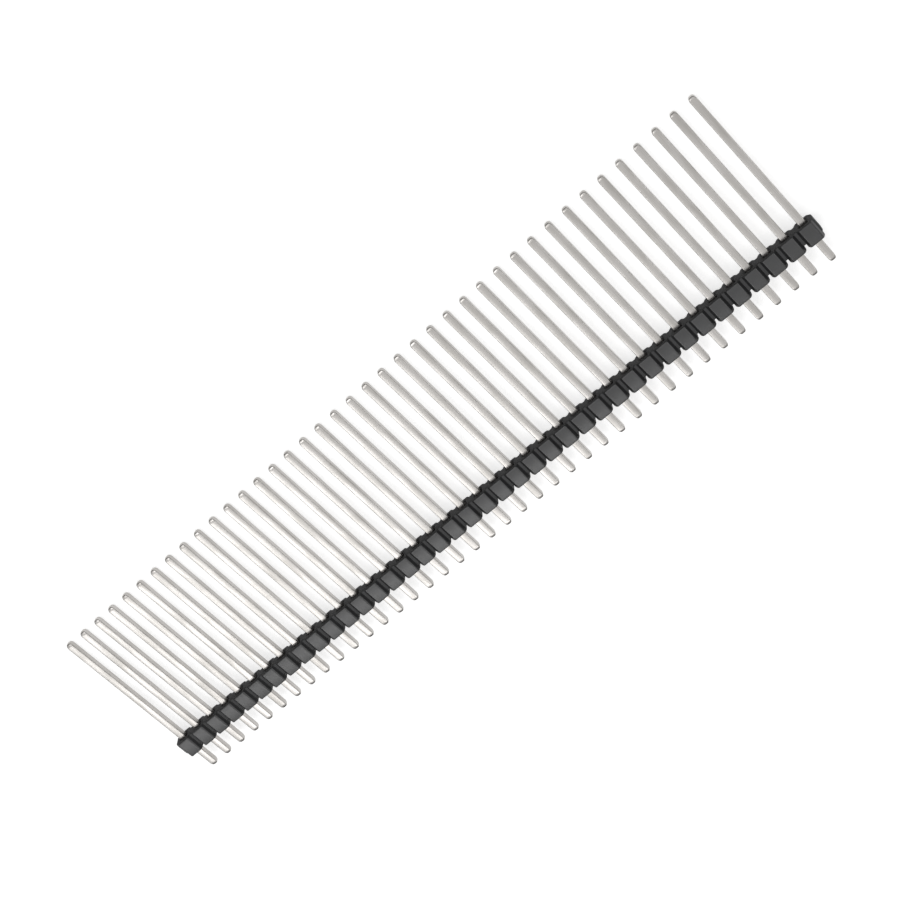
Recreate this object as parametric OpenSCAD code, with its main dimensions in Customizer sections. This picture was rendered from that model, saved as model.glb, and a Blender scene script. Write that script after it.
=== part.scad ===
// Pin header strip: one row of square posts pushed through a break-apart plastic housing.
// The strip lies on its side. The row runs along X, the long contact ends point along +Y,
// the short solder tails point along -Y, and Z is up. The origin is under the middle of the
// strip's box, on the surface that it lies on.

/* [Strip] */
// Number of positions, with one post in each
positions = 40; // [2:1:50]
// Distance from one post to the next
pitch = 2.54; // [2:0.02:5.08]

/* [Housing] */
// Height of the plastic, measured along the posts
housing_h = 2.5; // [1.5:0.1:5]
// Thickness of the plastic, across the row
housing_t = 2.5; // [2:0.1:5]
// Depth of the snap groove between two blocks, on each side
groove_d = 0.45; // [0.1:0.05:0.5]
// Width of a groove's flat floor
groove_floor_w = 0.34; // [0.1:0.02:0.4]
// Width of each bevel that leads from a block's face into the groove
block_bevel_w = 0.3; // [0.1:0.05:0.35]
// How far the web between two blocks stops short of the board side
web_cut = 0.55; // [0.2:0.05:0.8]
// Depth of the lead-in around each post, on the contact side
lead_in_d = 0.3; // [0.1:0.05:0.5]
// How much wider than the post the lead-in opens, on each side
lead_in_w = 0.25; // [0.1:0.05:0.3]

/* [Posts] */
// Thickness of the square post
post_w = 0.9; // [0.4:0.02:1]
// Radius of the post's long edges
post_edge_r = 0.12; // [0.05:0.01:0.15]
// Length of the contact end, from the housing to its tip
contact_len = 19.3; // [5:0.1:30]
// Length of the solder tail, from the housing to its tip
tail_len = 3.2; // [2:0.1:10]
// Length over which a tip narrows
tip_len = 0.6; // [0.3:0.05:1]
// Width of the flat at the very end of a tip
tip_w = 0.36; // [0.1:0.02:0.36]

/* [Fit] */
// Gap between a post and the wall of its hole; the posts are pressed in, so they touch
post_gap = 0; // [0:0.01:0.05]

/* [Hidden] */
$fn = 48;
// Flat steps that round each side of a tip
TIP_STEPS = 3;
// How far a cutting shape runs past the face that it cuts
PAST = 1;
strip_len = positions * pitch;
block_w = pitch - groove_floor_w;
block_face_w = block_w - 2 * block_bevel_w;
web_t = housing_t - 2 * groove_d;
post_len = contact_len + housing_h + tail_len;
// The top is the face that the contact ends leave, and the seat is the face on the board.
// The posts' tips are the strip's furthest points along Y, so a post's middle is at y = 0.
top_y = post_len / 2 - contact_len;
seat_y = top_y - housing_h;
axis_z = housing_t / 2;

function post_name(n) = str("pin_", n < 10 ? "0" : "", n);
function post_x(n) = (n - (positions + 1) / 2) * pitch;
POSTS = [for (n = [1:positions]) post_name(n)];

// Runs a shape drawn in the X-Z section along Y, between two places
module along_y(from_y, to_y) {
    rotate([90, 0, 0])
        translate([0, 0, -to_y])
            linear_extrude(to_y - from_y) children();
}

// Runs a shape drawn in the X-Y plane through everything above and below it
module through_z() {
    translate([0, 0, -pitch]) linear_extrude(2 * pitch) children();
}

// The post's section, a square with round corners, grown by "gap" all round
module post_section(gap) {
    core = post_w / 2 - post_edge_r;
    square([2 * core, post_w + 2 * gap], center = true);
    square([post_w + 2 * gap, 2 * core], center = true);
    for (x = [-core, core], z = [-core, core])
        translate([x, z]) circle(post_edge_r + gap);
}

// A post's outline seen from its side. Each end narrows along a quarter of an ellipse, and
// "turn" is the angle round that quarter, from the full width to the flat at the tip.
module post_outline() {
    narrowing = (post_w - tip_w) / 2;
    side = [
        for (end = [-1, 1], step = [0:TIP_STEPS])
            let (turn = 90 * (end > 0 ? step : TIP_STEPS - step) / TIP_STEPS)
                [
                    tip_w / 2 + narrowing * cos(turn),
                    end * (post_len / 2 - tip_len + tip_len * sin(turn))
                ]
    ];
    other_side = [for (k = [len(side) - 1:-1:0]) [-side[k][0], side[k][1]]];
    polygon(concat(side, other_side));
}

// One post: the rounded square bar, narrowed at both tips in both directions
module post(n) {
    color("silver")
        translate([post_x(n), 0, axis_z])
            intersection() {
                along_y(-post_len / 2, post_len / 2) post_section(0);
                through_z() post_outline();
                rotate([0, 90, 0]) through_z() post_outline();
            }
}

// One block's section: a rectangle with its four corners bevelled into the grooves
module block_section() {
    w = block_w / 2;
    face = block_face_w / 2;
    t = housing_t / 2;
    web = web_t / 2;
    polygon([
        [face, -t], [w, -web], [w, web], [face, t],
        [-face, t], [-w, web], [-w, -web], [-face, -t]
    ]);
}

// The lead-in's outline: as wide as the post at its floor and widest at the top face
module lead_in_outline() {
    floor_half = post_w / 2 + post_gap;
    mouth_half = post_w / 2 + lead_in_w;
    slope = (mouth_half - floor_half) / lead_in_d;
    past_half = mouth_half + slope * PAST;
    polygon([
        [floor_half, -lead_in_d], [past_half, PAST],
        [-past_half, PAST], [-floor_half, -lead_in_d]
    ]);
}

// The lead-in: a four-sided funnel, as wide as the outline in both directions
module lead_in() {
    intersection() {
        through_z() lead_in_outline();
        rotate([0, 90, 0]) through_z() lead_in_outline();
    }
}

// The housing: a row of blocks joined by thinner webs, with a hole and a lead-in for each post
module housing() {
    web_len = housing_h - web_cut;
    color("#2b2b2d")
        difference() {
            union() {
                for (n = [1:positions])
                    translate([post_x(n), 0, axis_z])
                        along_y(seat_y, top_y) block_section();
                translate([-strip_len / 2, top_y - web_len, axis_z - web_t / 2])
                    cube([strip_len, web_len, web_t]);
            }
            for (n = [1:positions])
                translate([post_x(n), 0, axis_z]) {
                    along_y(seat_y - PAST, top_y + PAST) post_section(post_gap);
                    translate([0, top_y, 0]) lead_in();
                }
        }
}

housing();
for (n = [1:positions])
    post(n);
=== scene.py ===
"""Pin header strip: forty tin-plated posts pressed through a break-apart housing.

Everything is in metres, in the frame of the CAD part: the row runs along X, the long
contact ends point along +Y, the solder tails along -Y, and the strip lies on its side,
from z = 0 up.
"""

import math

import bpy
import numpy as np
from mathutils import Matrix, Vector


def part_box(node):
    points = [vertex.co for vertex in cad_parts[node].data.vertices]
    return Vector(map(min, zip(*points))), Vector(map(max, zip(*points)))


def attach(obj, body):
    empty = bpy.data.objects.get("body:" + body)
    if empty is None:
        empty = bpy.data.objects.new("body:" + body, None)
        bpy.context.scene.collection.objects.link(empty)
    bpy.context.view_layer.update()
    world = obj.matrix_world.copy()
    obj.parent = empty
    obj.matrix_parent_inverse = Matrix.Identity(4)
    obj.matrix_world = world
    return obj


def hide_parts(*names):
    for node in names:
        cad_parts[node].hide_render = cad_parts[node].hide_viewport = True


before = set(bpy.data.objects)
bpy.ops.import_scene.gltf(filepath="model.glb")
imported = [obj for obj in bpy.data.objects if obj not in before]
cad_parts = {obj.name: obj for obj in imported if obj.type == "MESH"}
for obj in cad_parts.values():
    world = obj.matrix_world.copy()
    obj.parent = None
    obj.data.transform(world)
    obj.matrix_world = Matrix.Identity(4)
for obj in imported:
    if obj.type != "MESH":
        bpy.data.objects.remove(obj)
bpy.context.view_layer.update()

bl_info = {
    "name": "Pin header strip",
    "version": (1, 0, 0),
    "blender": (4, 5, 0),
    "location": "View3D > Sidebar > Pin header",
    "description": "Builds a row of plated posts in a moulded break-apart housing",
    "category": "Add Mesh",
}

MM = 0.001
SLACK = 1e-9  # how far apart two equal places may be worked out, in metres
ARC_POINTS = 4  # points on each rounded edge of the housing
POST_NODES = sorted(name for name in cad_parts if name.startswith("pin_"))

# The sockets of a Mix node share their names, so they are reached by number.
COLOUR_A, COLOUR_B, COLOUR_OUT = 6, 7, 2
NUMBER_A, NUMBER_B, NUMBER_OUT = 2, 3, 0

# Where each softbox hangs, its width and its height, in metres.
SOFTBOXES = {
    "key": ((-0.212, -0.192, 0.4), 0.42, 0.11),
    "fill": ((-0.13, 0.18, 0.4), 0.2, 0.14),
    "side": ((0.3, -0.13, 0.24), 0.2, 0.16),
}


def linear(hex_colour):
    """Turns an sRGB hex colour into linear red, green and blue."""
    levels = [int(hex_colour[i : i + 2], 16) / 255 for i in (1, 3, 5)]
    return tuple(
        c / 12.92 if c <= 0.04045 else ((c + 0.055) / 1.055) ** 2.4 for c in levels
    )


def per_metre(millimetres):
    """The texture scale whose pattern repeats about once in that many millimetres."""
    return 1 / (millimetres * MM)


def length(name, millimetres, description, low=0.0, high=200.0):
    """A length that the user can set, given in millimetres and kept in metres."""
    return bpy.props.FloatProperty(
        name=name,
        description=description,
        default=millimetres * MM,
        min=low * MM,
        max=high * MM,
        unit="LENGTH",
        subtype="DISTANCE",
        precision=5,
    )


def colour(name, hex_colour, description):
    """A colour that the user can set, given as sRGB hex and kept as linear."""
    return bpy.props.FloatVectorProperty(
        name=name,
        description=description,
        default=linear(hex_colour),
        min=0,
        max=1,
        size=3,
        subtype="COLOR",
    )


def amount(name, default, description, low=0.0, high=10.0):
    """A plain number that the user can set."""
    return bpy.props.FloatProperty(
        name=name, description=description, default=default, min=low, max=high
    )


def angle(name, degrees, description):
    """An angle that the user can set, given in degrees."""
    return bpy.props.FloatProperty(
        name=name,
        description=description,
        default=math.radians(degrees),
        unit="ROTATION",
        subtype="ANGLE",
    )


class PostSizes(bpy.types.PropertyGroup):
    """Sizes and finish of the posts."""

    width: length("Thickness", 0.9, "Thickness of the square post")
    edge: length("Edge radius", 0.07, "Radius of the post's long edges")
    crown: length("Crown", 0.027, "How far the middle of each side stands out")
    tip_length: length("Tip length", 0.6, "Length over which a tip narrows")
    tip_width: length("Tip width", 0.36, "Width of the flat at the end of a tip")
    tip_edge: length("Tip edge radius", 0.1, "Radius of the edges at the end of a tip")
    tip_crown: length("Tip crown", 0.04, "How far the cut end bulges")
    tin: colour("Tin", "#bcb9b6", "Colour of the bright tin plating")
    dull_tin: colour("Dull tin", "#adaaa6", "Colour of the plating where it is dull")


class HousingSizes(bpy.types.PropertyGroup):
    """Sizes and finish of the housing."""

    positions: bpy.props.IntProperty(
        name="Positions",
        description="Number of blocks, each with one post",
        default=len(POST_NODES),
        min=1,
    )
    pitch: length("Pitch", 2.54, "Distance from one post to the next")
    height: length("Height", 2.5, "Height of the plastic along the posts")
    thickness: length("Thickness", 2.5, "Thickness of the plastic across the row")
    groove_depth: length("Groove depth", 0.45, "Depth of the snap groove")
    groove_floor: length("Groove floor", 0.34, "Width of the snap groove's flat floor")
    bevel: length("Bevel", 0.3, "Width of each bevel that leads into a groove")
    web_cut: length("Web cut", 0.55, "How far a web stops short of the board side")
    lead_in_depth: length("Lead-in depth", 0.3, "Depth of the funnel round a post")
    lead_in_width: length(
        "Lead-in width", 0.25, "How far the funnel opens beyond the post"
    )
    hole: length("Hole", 0.9, "Width of the square hole round a post")
    hole_radius: length("Hole radius", 0.12, "Radius of the hole's corners")
    edge: length("Edge radius", 0.16, "Radius of the moulding's outer edges")
    corner: length(
        "Corner radius", 0.16, "Radius of a block's corners on the board side"
    )
    crease: length("Crease", 0.16, "Softness of the edges beside the grooves")
    black: colour("Black", "#1a1a1b", "Colour of the plastic")
    grey: colour("Grey", "#252628", "Colour of the paler flow marks in the plastic")


class StageSettings(bpy.types.PropertyGroup):
    """Floor, lamps and camera."""

    floor_colour: colour("Floor", "#dcdcdc", "Colour of the floor")
    floor_lift: amount("Floor lift", 0.66, "Light added to the floor's own white")
    floor_reach: length(
        "Floor reach", 3000, "Distance from the strip to the floor's sides", 100, 10000
    )
    floor_tilt: angle(
        "Floor tilt", 2.4, "Slope of the floor from the housing up to the long tips"
    )
    floor_touch: length(
        "Floor touch", -6.9, "Place along Y of the edge that rests on the floor", -200
    )
    ambient: amount("Ambient", 0.6, "Brightness of the room's plain light")
    overhead: amount("Overhead", 0.92, "Brightness of the ceiling in reflections")
    horizon: amount("Horizon", 0.05, "Brightness of the walls in reflections")
    key_brightness: amount(
        "Key", 2.35, "Brightness of the long softbox over the solder tails"
    )
    fill_brightness: amount(
        "Fill", 2.6, "Brightness of the softbox over the long contact ends"
    )
    side_brightness: amount(
        "Side", 1.4, "Brightness of the low softbox past the end of the row"
    )
    aim: bpy.props.FloatVectorProperty(
        name="Aim",
        description="Point that the camera looks at",
        default=(2.703 * MM, -0.506 * MM, 1.25 * MM),
        subtype="TRANSLATION",
        unit="LENGTH",
        precision=5,
    )
    azimuth: angle("Azimuth", 138.08, "Direction of the camera round the strip")
    elevation: angle("Elevation", 63.49, "Height of the camera above the horizon")
    roll: angle("Roll", 178.59, "Turn of the camera about its own line of sight")
    distance: length(
        "Distance", 194.54, "Distance of the camera from its aim", 10, 2000
    )
    lens: amount(
        "Focal length", 66.93, "Focal length in millimetres on a 36 mm sensor", 10, 300
    )


def quarter_turn(count):
    """Evenly spaced angles, from 0 to a right angle."""
    return np.linspace(0, math.pi / 2, count)


def mirrored(values):
    """The values below zero and above it, with one zero between them."""
    values = np.asarray(values)
    return np.concatenate([-values[::-1], [0.0], values])


def grid_quads(rows, columns):
    """Quads that join a grid of points, row by row, with each row closed into a ring.

    The corners of a quad are points (r, c), (r, c + 1), (r + 1, c + 1) and (r + 1, c),
    with column numbers taken round the ring.
    """
    r = np.arange(rows - 1)[:, None] * columns
    c = np.arange(columns)[None, :]
    following = (c + 1) % columns
    corners = [r + c, r + following, r + columns + following, r + columns + c]
    return np.stack(corners, -1)


def fan(ring, pole):
    """Triangles that close a ring of points onto one pole."""
    return np.stack([ring, np.roll(ring, -1), np.full(len(ring), pole)], -1)


def outward(points, faces):
    """Turns every face round if the closed surface encloses a negative volume.

    The volume is a sixth of the sum, over a fan of triangles, of a . (b x c).
    """
    volume = 0.0
    for corners in faces:
        for k in range(1, corners.shape[1] - 1):
            a, b, c = (points[corners[:, i]] for i in (0, k, k + 1))
            volume += np.einsum("ij,ij->", a, np.cross(b, c))
    return faces if volume > 0 else [corners[:, ::-1] for corners in faces]


def piece(name, points, faces, material):
    """Makes a smooth mesh piece out of an array of points and arrays of faces."""
    faces = outward(points, faces)
    sides = [np.stack([f, np.roll(f, -1, 1)], -1).reshape(-1, 2) for f in faces]
    _, shared = np.unique(np.sort(np.concatenate(sides), 1), axis=0, return_counts=True)
    if np.any(shared != 2):
        raise RuntimeError(f"{name} isn't closed")
    used, first = np.unique(
        np.concatenate([f.ravel() for f in faces]), return_inverse=True
    )
    sizes = np.concatenate([np.full(len(f), f.shape[1]) for f in faces])
    mesh = bpy.data.meshes.new(name)
    mesh.vertices.add(len(used))
    mesh.vertices.foreach_set("co", points[used].astype(np.float32).ravel())
    mesh.loops.add(len(first))
    mesh.loops.foreach_set("vertex_index", first.ravel().astype(np.int32))
    mesh.polygons.add(len(sizes))
    starts = np.cumsum(sizes) - sizes
    mesh.polygons.foreach_set("loop_start", starts.astype(np.int32))
    mesh.polygons.foreach_set("use_smooth", np.ones(len(sizes), dtype=bool))
    mesh.update(calc_edges=True)
    if mesh.validate():
        raise RuntimeError(f"{name} has faces that Blender had to mend")
    mesh.materials.append(material)
    made = bpy.data.objects.new(name, mesh)
    bpy.context.scene.collection.objects.link(made)
    return made


def rounded_square(radius):
    """Rings of points round squares of half width 1, each with its own corner radius.

    A quarter of a ring runs up most of the side x = 1, then round its corner, which is
    a circle about (1 - radius, 1 - radius). The other quarters are turned by right
    angles.
    """
    radius = radius[:, None]
    core = 1 - radius
    side = mirrored([0.45, 0.9])[None, :]
    arc = quarter_turn(7)[None, :]
    x = np.concatenate([np.ones_like(core * side), core + radius * np.cos(arc)], 1)
    z = np.concatenate([core * side, core + radius * np.sin(arc)], 1)
    return np.concatenate([x, -z, -x, z], 1), np.concatenate([z, x, -z, -x], 1)


def post_surface(sizes, centre, y_low, y_high):
    """One post: a rounded square with crowned sides, closed by a pole at each tip.

    Each side sinks towards its edges by the crown times the square of the place across
    it. Along a tip the half width falls from the full one to the cut end's as the
    cosine of an angle, while the place along Y runs on as its sine, which is a quarter
    of an ellipse. The cut end is a shallow dome: its height falls with the square of
    the distance from the middle. The corner radius, as a share of the half width, grows
    on the way, so the end is rounder.
    """
    half, end_half = sizes.width / 2, sizes.tip_width / 2
    shoulder = sizes.tip_length - sizes.tip_crown
    turn = quarter_turn(9)
    dome = np.array([0.8, 0.55, 0.3])
    dome_y = shoulder + sizes.tip_crown * (1 - dome**2)
    tip_half = end_half + (half - end_half) * np.cos(turn)
    tip_half = np.concatenate([tip_half, dome * end_half])
    tip_y = np.concatenate([shoulder * np.sin(turn), dome_y]) - sizes.tip_length
    middle_y = np.linspace(y_low, y_high, 8)[1:-1]
    middle_half = np.full(len(middle_y), half)
    station_y = np.concatenate([y_low - tip_y[::-1], middle_y, y_high + tip_y])
    station_half = np.concatenate([tip_half[::-1], middle_half, tip_half])
    slimness = np.clip((half - station_half) / (half - end_half), 0, 1)
    bar_share, end_share = sizes.edge / half, sizes.tip_edge / end_half
    x, z = rounded_square(bar_share + (end_share - bar_share) * slimness)
    crown = sizes.crown / half
    x, z = x * (1 - crown * z**2), z * (1 - crown * x**2)
    ring_y = np.broadcast_to(station_y[:, None], x.shape)
    rings = np.stack([x * station_half[:, None], ring_y, z * station_half[:, None]], -1)
    rings = rings + np.array([centre[0], 0, centre[2]])
    poles = np.array([[centre[0], y_low, centre[2]], [centre[0], y_high, centre[2]]])
    points = np.concatenate([rings.reshape(-1, 3), poles])
    rows, columns = x.shape
    low_ring = np.arange(columns)
    high_ring = low_ring + (rows - 1) * columns
    caps = [fan(low_ring[::-1], rows * columns), fan(high_ring, rows * columns + 1)]
    return points, [grid_quads(rows, columns).reshape(-1, 4), np.concatenate(caps)]


def soft_min(a, b, softness):
    """The smaller of two values, blended by a parabola where they nearly meet."""
    overlap = np.maximum(softness - np.abs(a - b), 0)
    return np.minimum(a, b) - overlap**2 / (4 * softness)


def soft_max(a, b, softness):
    """The larger of two values, blended by a parabola where they nearly meet."""
    return -soft_min(-a, -b, softness)


def rounded_square_scale(share, radius):
    """How far a unit square with rounded corners reaches, as a share of a sharp one.

    share is the smaller coordinate over the larger, 0 on an axis and 1 on a diagonal.
    Past the flat side, the ray (1, share) * t meets the corner's circle, a quadratic
    in t.
    """
    core = 1 - radius
    flat = share <= core
    q = 1 + share**2
    p = core * (1 + share)
    root = np.sqrt(np.maximum(p**2 - q * (2 * core**2 - radius**2), 0))
    return np.where(flat, 1.0, (p + root) / q)


def post_places(s):
    """Where the posts stand along X."""
    return (np.arange(s.positions) - (s.positions - 1) / 2) * s.pitch


def lead_in_lines(s):
    """Distances from a post's axis at which its hole and its funnel are drawn."""
    hole = s.hole / 2
    inside = hole * np.array([0.5, 0.75, 1.0])
    funnel = hole + s.lead_in_width * np.array([0.5, 1.0, 1.16])
    return np.concatenate([inside, funnel])


def section_places(s):
    """Where the housing's upright sections stand along X.

    Gives each section's x, its distance u from the nearest post, and how far it is
    drawn in. In each block they stand at the lines of the lead-in, over the soft edge
    of the front face, round the corner, and on both sides of the step to the web. One
    more stands in the middle of each groove. At either end of the strip they stand on a
    quarter circle and are drawn in along it.
    """
    block = (s.pitch - s.groove_floor) / 2
    arc = quarter_turn(ARC_POINTS)
    soft_edge = s.crease * s.bevel / s.groove_depth
    face = block - s.bevel + soft_edge * mirrored([0.45, 0.9])
    corner = block - s.corner * (1 - np.sin(arc))
    step, past_step = 0.004 * MM, 0.03 * MM  # distances from a block's edge
    web = [block + step, block + past_step, (block + s.pitch / 2) / 2]
    one_side = [lead_in_lines(s), face, corner[:-1], [block - step], web]
    one_block = mirrored(np.sort(np.concatenate(one_side)))

    centres = post_places(s)
    grooves = centres[:-1] + s.pitch / 2
    x = np.concatenate([(centres[:, None] + one_block).ravel(), grooves])
    u = np.concatenate(
        [np.tile(one_block, s.positions), np.full(len(grooves), s.pitch / 2)]
    )
    order = np.argsort(x, kind="stable")
    x, u = x[order], np.abs(u[order])

    end = centres[-1] + s.pitch / 2
    clear = np.abs(x) < end - s.edge - step / 4  # no plain section inside a rounded end
    x, u = x[clear], u[clear]
    back, inset = s.edge * (1 - np.sin(arc)), s.edge * (1 - np.cos(arc))
    in_groove = np.full(len(arc), s.pitch / 2)
    x = np.concatenate([back[::-1] - end, x, end - back])
    u = np.concatenate([in_groove, u, in_groove])
    inset = np.concatenate([inset[::-1], np.zeros(clear.sum()), inset])
    if np.diff(x).min() <= 0:
        raise ValueError("two sections of the housing are out of order along X")
    return x, u, inset


def section_shape(s, u):
    """Half the thickness of each section, and how far its board side stops short.

    At a distance u from the nearest post, the half thickness is the soft minimum of the
    block's and the bevel's, and the soft maximum of that and the web's. The board side
    rises by a quarter circle at a block's corner, then by a step to the web's.
    """
    block = (s.pitch - s.groove_floor) / 2
    web = s.thickness / 2 - s.groove_depth
    slope = s.groove_depth / s.bevel
    bevel = web + (block - u) * slope
    half_thickness = soft_min(s.thickness / 2, bevel, s.crease)
    half_thickness = soft_max(half_thickness, web, s.crease / 6)
    inside = np.clip(u - (block - s.corner), 0, s.corner)
    rise = s.corner - np.sqrt(np.maximum(s.corner**2 - inside**2, 0))
    return half_thickness, np.where(u > block, s.web_cut, rise)


def housing_surface(s, top_y, axis_z):
    """The housing: upright sections strung along X, from one end to the other.

    Each section is a rectangle with rounded corners. The contact side sinks round each
    post by a funnel, whose depth falls in a straight line with the larger of |x| and
    |z| from the post's axis. The lines of the lead-in are squeezed where a section is
    too thin for them. Near a post they are drawn in at the diagonals, so that the hole
    has round corners. The patch inside the post is left out on both sides, and walls
    join the two rims.
    """
    x, u, inset = section_places(s)
    half_thickness, rise = section_shape(s, u)
    hole = s.hole / 2
    mouth = hole + s.lead_in_width
    seat_y = top_y - s.height
    lines = mirrored(lead_in_lines(s))
    arc, r = quarter_turn(ARC_POINTS), s.edge

    t = (half_thickness - inset)[:, None]
    high = (top_y - inset)[:, None]
    low = (seat_y + rise + inset)[:, None]
    from_axis = np.maximum(u[:, None], np.abs(lines)[None, :])
    depth = s.lead_in_depth * np.clip((mouth - from_axis) / s.lead_in_width, 0, 1)
    squeeze = np.minimum(1, 0.97 * (t - r) / lines[-1])
    sides = [
        (high - depth, lines * squeeze),
        (high - r + r * np.cos(arc), t - r + r * np.sin(arc)),
        (low + r - r * np.sin(arc), t - r + r * np.cos(arc)),
        (np.broadcast_to(low, depth.shape), -lines * squeeze),
        (low + r - r * np.cos(arc), -t + r - r * np.sin(arc)),
        (high - r + r * np.sin(arc), -t + r - r * np.cos(arc)),
    ]
    y = np.concatenate([side[0] for side in sides], 1)
    z = np.concatenate([side[1] for side in sides], 1)

    centres = post_places(s)
    signed_u = x - centres[np.abs(x[:, None] - centres[None, :]).argmin(1)]
    grid_u = np.broadcast_to(signed_u[:, None], y.shape)
    from_axis = np.maximum(np.abs(grid_u), np.abs(z))
    share = np.minimum(np.abs(grid_u), np.abs(z)) / np.maximum(from_axis, SLACK)
    scale = np.where(
        from_axis <= mouth + SLACK, rounded_square_scale(share, s.hole_radius / hole), 1
    )
    grid_x = (x - signed_u)[:, None] + grid_u * scale
    points = np.stack([grid_x, y, z * scale + axis_z], -1)

    rows, columns = y.shape
    seat = len(lines) + 2 * len(arc)
    row_open = np.maximum(np.abs(signed_u[:-1]), np.abs(signed_u[1:])) <= hole + SLACK
    line_open = np.maximum(np.abs(lines[:-1]), np.abs(lines[1:])) <= hole + SLACK
    column_open = np.zeros(columns, dtype=bool)
    for start in (0, seat):
        column_open[start : start + len(line_open)] = line_open
    quads = grid_quads(rows, columns)[~(row_open[:, None] & column_open[None, :])]
    walls = hole_walls(signed_u, lines, hole, columns, seat)

    middle_y = (top_y + seat_y + s.web_cut) / 2
    poles = np.array([[x[0], middle_y, axis_z], [x[-1], middle_y, axis_z]])
    first = np.arange(columns)
    last = first + (rows - 1) * columns
    caps = [fan(first[::-1], rows * columns), fan(last, rows * columns + 1)]
    points = np.concatenate([points.reshape(-1, 3), poles])
    return points, [np.concatenate([quads, walls]), np.concatenate(caps)]


def hole_walls(signed_u, lines, hole, columns, seat):
    """Quads between each hole's rim on the contact side and its rim on the board side.

    A rim runs round the patch of grid points that lie in the hole: along its last line,
    down its last row, back along its first line and up its first row.
    """
    line = np.flatnonzero(np.abs(lines) <= hole + SLACK)
    inside = np.abs(signed_u) <= hole + SLACK
    starts = np.flatnonzero(inside & ~np.roll(inside, 1))
    row = np.arange(np.flatnonzero(~inside[starts[0] :])[0])
    rim_row = np.concatenate(
        [row[:-1], np.full(len(line) - 1, row[-1]), row[:0:-1], np.zeros_like(line[1:])]
    )
    rim_line = np.concatenate(
        [
            np.full(len(row) - 1, line[-1]),
            line[:0:-1],
            np.full(len(row) - 1, line[0]),
            line[:-1],
        ]
    )
    rim_start = (starts[:, None] + rim_row) * columns
    top = rim_start + rim_line
    bottom = rim_start + seat + (len(lines) - 1 - rim_line)
    corners = [top, np.roll(top, -1, 1), np.roll(bottom, -1, 1), bottom]
    return np.stack(corners, -1).reshape(-1, 4)


def add_node(tree, kind, inputs=None, **settings):
    """Adds a node of that kind, with its settings, and sets or links its inputs.

    An input is given by its name, or by its number where sockets share a name.
    """
    made = tree.nodes.new(kind)
    for name, value in settings.items():
        setattr(made, name, value)
    for name, value in (inputs or {}).items():
        if isinstance(value, bpy.types.NodeSocket):
            tree.links.new(value, made.inputs[name])
        else:
            made.inputs[name].default_value = value
    return made


def new_tree(owner):
    """The empty node tree of a material or a world."""
    owner.use_nodes = True
    owner.node_tree.nodes.clear()
    return owner.node_tree


def tin_plate(sizes):
    """Bright tin plating over drawn brass wire, cut to length and tumbled.

    The drawing die leaves faint lines along the wire, a few hundredths of a millimetre
    apart. They blur the reflections across the wire. The plating dulls in long soft
    patches. The lines are drawn three times as coarse as the real ones, so that they
    still show.
    """
    line_spacing, patch_width = 0.07, 0.9  # in millimetres
    material = bpy.data.materials.new("tin_plated_wire")
    tree = new_tree(material)
    place = add_node(tree, "ShaderNodeTexCoord").outputs["Object"]
    along = add_node(
        tree, "ShaderNodeMapping", {"Vector": place, "Scale": (1, 0.012, 1)}
    )
    lines = add_node(
        tree,
        "ShaderNodeTexNoise",
        {
            "Vector": along.outputs["Vector"],
            "Scale": per_metre(line_spacing),
            "Detail": 2.0,
        },
    )
    patch_place = add_node(
        tree, "ShaderNodeMapping", {"Vector": place, "Scale": (1, 0.22, 1)}
    )
    patches = add_node(
        tree,
        "ShaderNodeTexNoise",
        {
            "Vector": patch_place.outputs["Vector"],
            "Scale": per_metre(patch_width),
            "Detail": 3.0,
        },
    )
    dull = add_node(
        tree,
        "ShaderNodeMapRange",
        {"Value": patches.outputs["Fac"], "From Min": 0.4, "From Max": 0.68},
    )
    tone = add_node(
        tree,
        "ShaderNodeMix",
        {
            "Factor": dull.outputs["Result"],
            COLOUR_A: (*sizes.tin, 1),
            COLOUR_B: (*sizes.dull_tin, 1),
        },
        data_type="RGBA",
    )
    streaky = add_node(
        tree,
        "ShaderNodeMapRange",
        {
            "Value": lines.outputs["Fac"],
            "From Min": 0.3,
            "From Max": 0.7,
            "To Min": 0.22,
            "To Max": 0.3,
        },
    )
    rough = add_node(
        tree,
        "ShaderNodeMath",
        {0: dull.outputs["Result"], 1: 0.06, 2: streaky.outputs["Result"]},
        operation="MULTIPLY_ADD",
    )
    bump = add_node(
        tree,
        "ShaderNodeBump",
        {"Height": lines.outputs["Fac"], "Strength": 0.25, "Distance": 0.006 * MM},
    )
    shader = add_node(
        tree,
        "ShaderNodeBsdfPrincipled",
        {
            "Base Color": tone.outputs[COLOUR_OUT],
            "Metallic": 1.0,
            "Roughness": rough.outputs["Value"],
            "Normal": bump.outputs["Normal"],
        },
    )
    add_node(tree, "ShaderNodeOutputMaterial", {"Surface": shader.outputs["BSDF"]})
    return material


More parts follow.
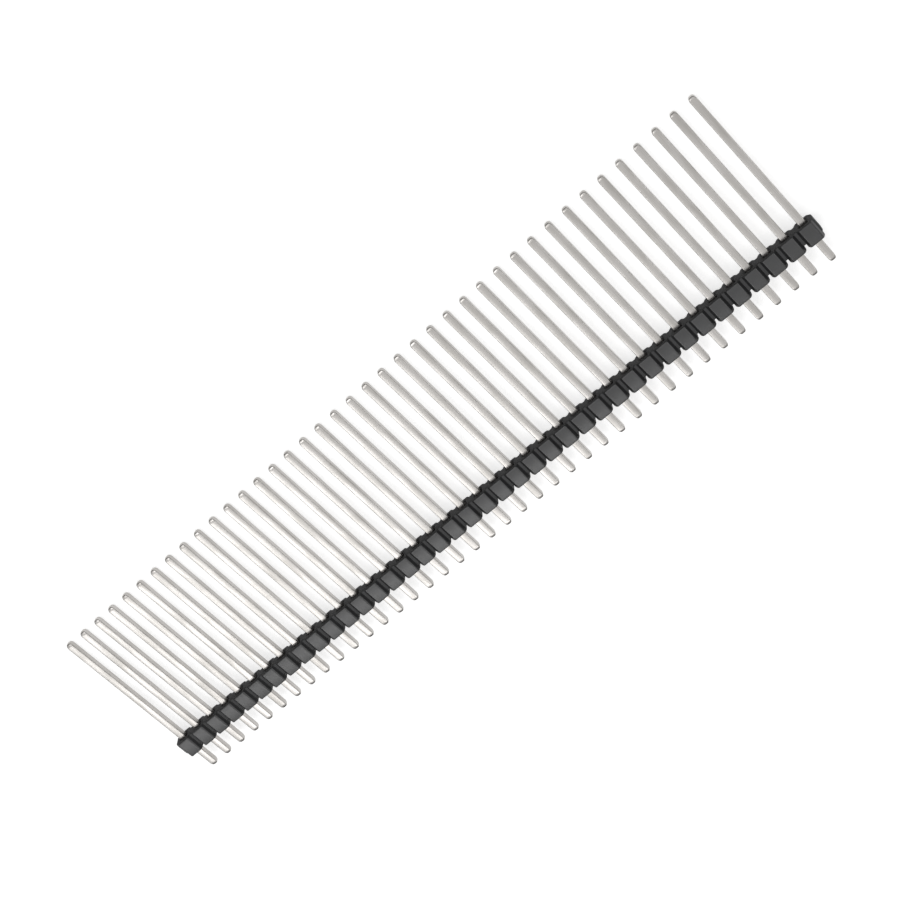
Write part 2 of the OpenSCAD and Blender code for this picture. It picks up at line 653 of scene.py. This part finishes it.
def moulded_plastic(sizes):
    """Black glass-filled thermoplastic, injection moulded in a spark-eroded cavity.

    The cavity gives a fine satin grain, which spreads the light into a soft sheen. The
    groove floors, and the two sides that the posts pass through, come from rougher
    parts of the mould and are duller. Short glass fibres near the skin leave paler
    specks, and the flow of the melt leaves faint cloudy tones. The grain is drawn twice
    as coarse as the real one, so that it still shows.
    """
    flow_width, speck_width, grain_width = 1.6, 0.13, 0.08  # in millimetres
    satin, dull_groove, dull_side = 0.27, 0.62, 0.8  # roughness under the grain
    material = bpy.data.materials.new("moulded_thermoplastic")
    tree = new_tree(material)
    place = add_node(tree, "ShaderNodeTexCoord").outputs["Object"]
    flow = add_node(
        tree,
        "ShaderNodeTexNoise",
        {
            "Vector": place,
            "Scale": per_metre(flow_width),
            "Detail": 3.0,
            "Distortion": 0.6,
        },
    )
    specks = add_node(
        tree,
        "ShaderNodeTexNoise",
        {"Vector": place, "Scale": per_metre(speck_width), "Detail": 2.0},
    )
    grain = add_node(
        tree,
        "ShaderNodeTexNoise",
        {
            "Vector": place,
            "Scale": per_metre(grain_width),
            "Detail": 3.0,
            "Roughness": 0.6,
        },
    )
    cloud = add_node(
        tree,
        "ShaderNodeMapRange",
        {
            "Value": flow.outputs["Fac"],
            "From Min": 0.35,
            "From Max": 0.7,
            "To Max": 0.7,
        },
    )
    speck = add_node(
        tree,
        "ShaderNodeMapRange",
        {
            "Value": specks.outputs["Fac"],
            "From Min": 0.58,
            "From Max": 0.72,
            "To Max": 0.6,
        },
    )
    pale = add_node(
        tree,
        "ShaderNodeMath",
        {0: cloud.outputs["Result"], 1: speck.outputs["Result"]},
        operation="ADD",
        use_clamp=True,
    )
    tone = add_node(
        tree,
        "ShaderNodeMix",
        {
            "Factor": pale.outputs["Value"],
            COLOUR_A: (*sizes.black, 1),
            COLOUR_B: (*sizes.grey, 1),
        },
        data_type="RGBA",
    )
    normal = add_node(tree, "ShaderNodeNewGeometry").outputs["Normal"]
    normal_y = add_node(tree, "ShaderNodeSeparateXYZ", {"Vector": normal}).outputs["Y"]
    along_posts = add_node(tree, "ShaderNodeMath", {0: normal_y}, operation="ABSOLUTE")
    side = add_node(
        tree,
        "ShaderNodeMapRange",
        {
            "Value": along_posts.outputs["Value"],
            "From Min": 0.4,
            "From Max": 0.8,
            "To Min": satin,
            "To Max": dull_side,
        },
    )
    face = sizes.thickness / 2
    place_z = add_node(tree, "ShaderNodeSeparateXYZ", {"Vector": place}).outputs["Z"]
    above_axis = add_node(
        tree, "ShaderNodeMath", {0: place_z, 1: face}, operation="SUBTRACT"
    )
    from_axis = add_node(
        tree, "ShaderNodeMath", {0: above_axis.outputs["Value"]}, operation="ABSOLUTE"
    )
    groove = add_node(
        tree,
        "ShaderNodeMapRange",
        {
            "Value": from_axis.outputs["Value"],
            "From Min": face - 0.9 * sizes.groove_depth,
            "From Max": face - 0.7 * sizes.groove_depth,
            "To Min": dull_groove,
            "To Max": satin,
        },
    )
    duller = add_node(
        tree,
        "ShaderNodeMath",
        {0: side.outputs["Result"], 1: groove.outputs["Result"]},
        operation="MAXIMUM",
    )
    rough = add_node(
        tree,
        "ShaderNodeMath",
        {0: grain.outputs["Fac"], 1: 0.1, 2: duller.outputs["Value"]},
        operation="MULTIPLY_ADD",
    )
    bump = add_node(
        tree,
        "ShaderNodeBump",
        {"Height": grain.outputs["Fac"], "Strength": 0.5, "Distance": 0.01 * MM},
    )
    shader = add_node(
        tree,
        "ShaderNodeBsdfPrincipled",
        {
            "Base Color": tone.outputs[COLOUR_OUT],
            "Roughness": rough.outputs["Value"],
            "IOR": 1.55,
            "Specular IOR Level": 0.75,
            "Normal": bump.outputs["Normal"],
        },
    )
    add_node(tree, "ShaderNodeOutputMaterial", {"Surface": shader.outputs["BSDF"]})
    return material


def shown_white(tree):
    """1 for rays from the camera, off a sheen or through glass, 0 for all others."""
    path = add_node(tree, "ShaderNodeLightPath")
    first = add_node(
        tree,
        "ShaderNodeMath",
        {0: path.outputs["Is Camera Ray"], 1: path.outputs["Is Glossy Ray"]},
        operation="MAXIMUM",
    )
    return add_node(
        tree,
        "ShaderNodeMath",
        {0: first.outputs["Value"], 1: path.outputs["Is Transmission Ray"]},
        operation="MAXIMUM",
    ).outputs["Value"]


def pale_floor(settings):
    """Matt white board, lifted a little where it is seen, under the strip's shadow."""
    material = bpy.data.materials.new("matt_white_board")
    tree = new_tree(material)
    lift = add_node(
        tree,
        "ShaderNodeMath",
        {0: shown_white(tree), 1: settings.floor_lift},
        operation="MULTIPLY",
    )
    matt = add_node(
        tree, "ShaderNodeBsdfDiffuse", {"Color": (*settings.floor_colour, 1)}
    )
    glow = add_node(tree, "ShaderNodeEmission", {"Strength": lift.outputs["Value"]})
    both = add_node(
        tree,
        "ShaderNodeAddShader",
        {0: matt.outputs["BSDF"], 1: glow.outputs["Emission"]},
    )
    add_node(tree, "ShaderNodeOutputMaterial", {"Surface": both.outputs["Shader"]})
    return material


def light_room(settings):
    """A white room that is darker towards the horizon.

    The camera sees it plain white. Reflections show the ceiling's brightness overhead,
    fading to the walls' near the horizon. Matt surfaces are lit by that times the
    ambient brightness.
    """
    world = bpy.data.worlds.new("white_room")
    tree = new_tree(world)
    way = add_node(tree, "ShaderNodeTexCoord").outputs["Generated"]
    height = add_node(tree, "ShaderNodeSeparateXYZ", {"Vector": way}).outputs["Z"]
    graded = add_node(
        tree,
        "ShaderNodeMapRange",
        {
            "Value": height,
            "From Min": 0.3,
            "From Max": 0.75,
            "To Min": settings.horizon,
            "To Max": settings.overhead,
        },
    )
    path = add_node(tree, "ShaderNodeLightPath")
    seen = add_node(
        tree,
        "ShaderNodeMix",
        {
            "Factor": path.outputs["Is Camera Ray"],
            NUMBER_A: graded.outputs["Result"],
            NUMBER_B: 1.0,
        },
        data_type="FLOAT",
    )
    dim = add_node(
        tree,
        "ShaderNodeMath",
        {0: graded.outputs["Result"], 1: settings.ambient},
        operation="MULTIPLY",
    )
    strength = add_node(
        tree,
        "ShaderNodeMix",
        {
            "Factor": shown_white(tree),
            NUMBER_A: dim.outputs["Value"],
            NUMBER_B: seen.outputs[NUMBER_OUT],
        },
        data_type="FLOAT",
    )
    background = add_node(
        tree,
        "ShaderNodeBackground",
        {"Color": (1, 1, 1, 1), "Strength": strength.outputs[NUMBER_OUT]},
    )
    add_node(
        tree, "ShaderNodeOutputWorld", {"Surface": background.outputs["Background"]}
    )
    bpy.context.scene.world = world


def softbox(name, place, width, height, brightness):
    """A softbox that faces the middle of the strip.

    Its width is level, and its height runs along the slope down to the strip. Its power
    is brightness times pi times its area.
    """
    light = bpy.data.lights.new(name, "AREA")
    light.shape = "RECTANGLE"
    light.size, light.size_y = width, height
    light.energy = brightness * math.pi * width * height
    made = bpy.data.objects.new(name, light)
    made.location = place
    made.rotation_mode = "QUATERNION"
    made.rotation_quaternion = (-place).to_track_quat("-Z", "Y")
    bpy.context.scene.collection.objects.link(made)


class PINHEADER_OT_posts(bpy.types.Operator):
    """Makes the forty posts, each with a rounded tip at both ends"""

    bl_idname = "pin_header.make_posts"
    bl_label = "Make posts"

    def execute(self, context):
        sizes = context.scene.pin_header_posts
        material = tin_plate(sizes)
        for node in POST_NODES:
            low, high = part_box(node)
            centre = (low + high) / 2
            points, faces = post_surface(sizes, centre, low.y, high.y)
            post = piece(node.replace("pin", "post"), points, faces, material)
            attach(post, "root")
            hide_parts(node)
        return {"FINISHED"}


class PINHEADER_OT_housing(bpy.types.Operator):
    """Makes the moulded housing, with its blocks, snap grooves, webs and lead-ins"""

    bl_idname = "pin_header.make_housing"
    bl_label = "Make housing"

    def execute(self, context):
        sizes = context.scene.pin_header_housing
        low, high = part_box("housing")
        points, faces = housing_surface(sizes, high.y, (low.z + high.z) / 2)
        housing = piece("moulded_housing", points, faces, moulded_plastic(sizes))
        weighted = housing.modifiers.new("Flat faces, soft edges", "WEIGHTED_NORMAL")
        weighted.weight = 100
        weighted.thresh = 0
        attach(housing, "root")
        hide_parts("housing")
        return {"FINISHED"}


class PINHEADER_OT_stage(bpy.types.Operator):
    """Makes the floor, the softboxes and the camera"""

    bl_idname = "pin_header.make_stage"
    bl_label = "Make stage"

    def execute(self, context):
        settings = context.scene.pin_header_stage
        corners = np.array([[-1, -1, 0], [1, -1, 0], [1, 1, 0], [-1, 1, 0]])
        corners = corners * settings.floor_reach
        slope = math.tan(settings.floor_tilt)
        corners[:, 2] = (corners[:, 1] - settings.floor_touch) * slope
        mesh = bpy.data.meshes.new("floor")
        mesh.from_pydata(corners.tolist(), [], [(0, 1, 2, 3)])
        mesh.materials.append(pale_floor(settings))
        floor = bpy.data.objects.new("floor", mesh)
        context.scene.collection.objects.link(floor)
        light_room(settings)
        for name, (place, width, height) in SOFTBOXES.items():
            brightness = getattr(settings, f"{name}_brightness")
            softbox(f"{name}_softbox", Vector(place), width, height, brightness)
        place_camera(context.scene, settings)
        context.scene.view_settings.view_transform = "Standard"
        return {"FINISHED"}


def place_camera(scene, settings):
    """Puts the camera round the strip at its azimuth, elevation, distance and roll."""
    camera = bpy.data.objects.new("camera", bpy.data.cameras.new("camera"))
    camera.data.sensor_width = 36
    camera.data.lens = settings.lens
    camera.data.clip_start, camera.data.clip_end = 0.01, 20
    a, e = settings.azimuth, settings.elevation
    back = Vector((math.sin(a) * math.cos(e), -math.cos(a) * math.cos(e), math.sin(e)))
    turn = back.to_track_quat("Z", "Y").to_matrix() @ Matrix.Rotation(
        settings.roll, 3, "Z"
    )
    place = Vector(settings.aim) + back * settings.distance
    camera.matrix_world = Matrix.Translation(place) @ turn.to_4x4()
    scene.collection.objects.link(camera)
    scene.camera = camera


class PINHEADER_PT_panel(bpy.types.Panel):
    """Buttons and sizes of the strip"""

    bl_idname = "PINHEADER_PT_panel"
    bl_label = "Pin header strip"
    bl_space_type = "VIEW_3D"
    bl_region_type = "UI"
    bl_category = "Pin header"

    def draw(self, context):
        for operator, group, _ in PARTS:
            box = self.layout.box()
            box.operator(operator.bl_idname)
            settings = getattr(context.scene, group)
            for name in settings.__annotations__:
                box.prop(settings, name)


PARTS = (
    (PINHEADER_OT_housing, "pin_header_housing", HousingSizes),
    (PINHEADER_OT_posts, "pin_header_posts", PostSizes),
    (PINHEADER_OT_stage, "pin_header_stage", StageSettings),
)
CLASSES = (
    *(sizes for _, _, sizes in PARTS),
    *(operator for operator, _, _ in PARTS),
    PINHEADER_PT_panel,
)


def register():
    """Registers the classes, and gives every scene the strip's sizes and settings."""
    for cls in CLASSES:
        bpy.utils.register_class(cls)
    for _, group, sizes in PARTS:
        setattr(bpy.types.Scene, group, bpy.props.PointerProperty(type=sizes))


def unregister():
    """Takes the sizes and the classes away again."""
    for _, group, _ in PARTS:
        delattr(bpy.types.Scene, group)
    for cls in reversed(CLASSES):
        bpy.utils.unregister_class(cls)


def main():
    """Builds the strip and its stage."""
    register()
    bpy.ops.pin_header.make_housing()
    bpy.ops.pin_header.make_posts()
    bpy.ops.pin_header.make_stage()


if __name__ == "__main__":
    main()
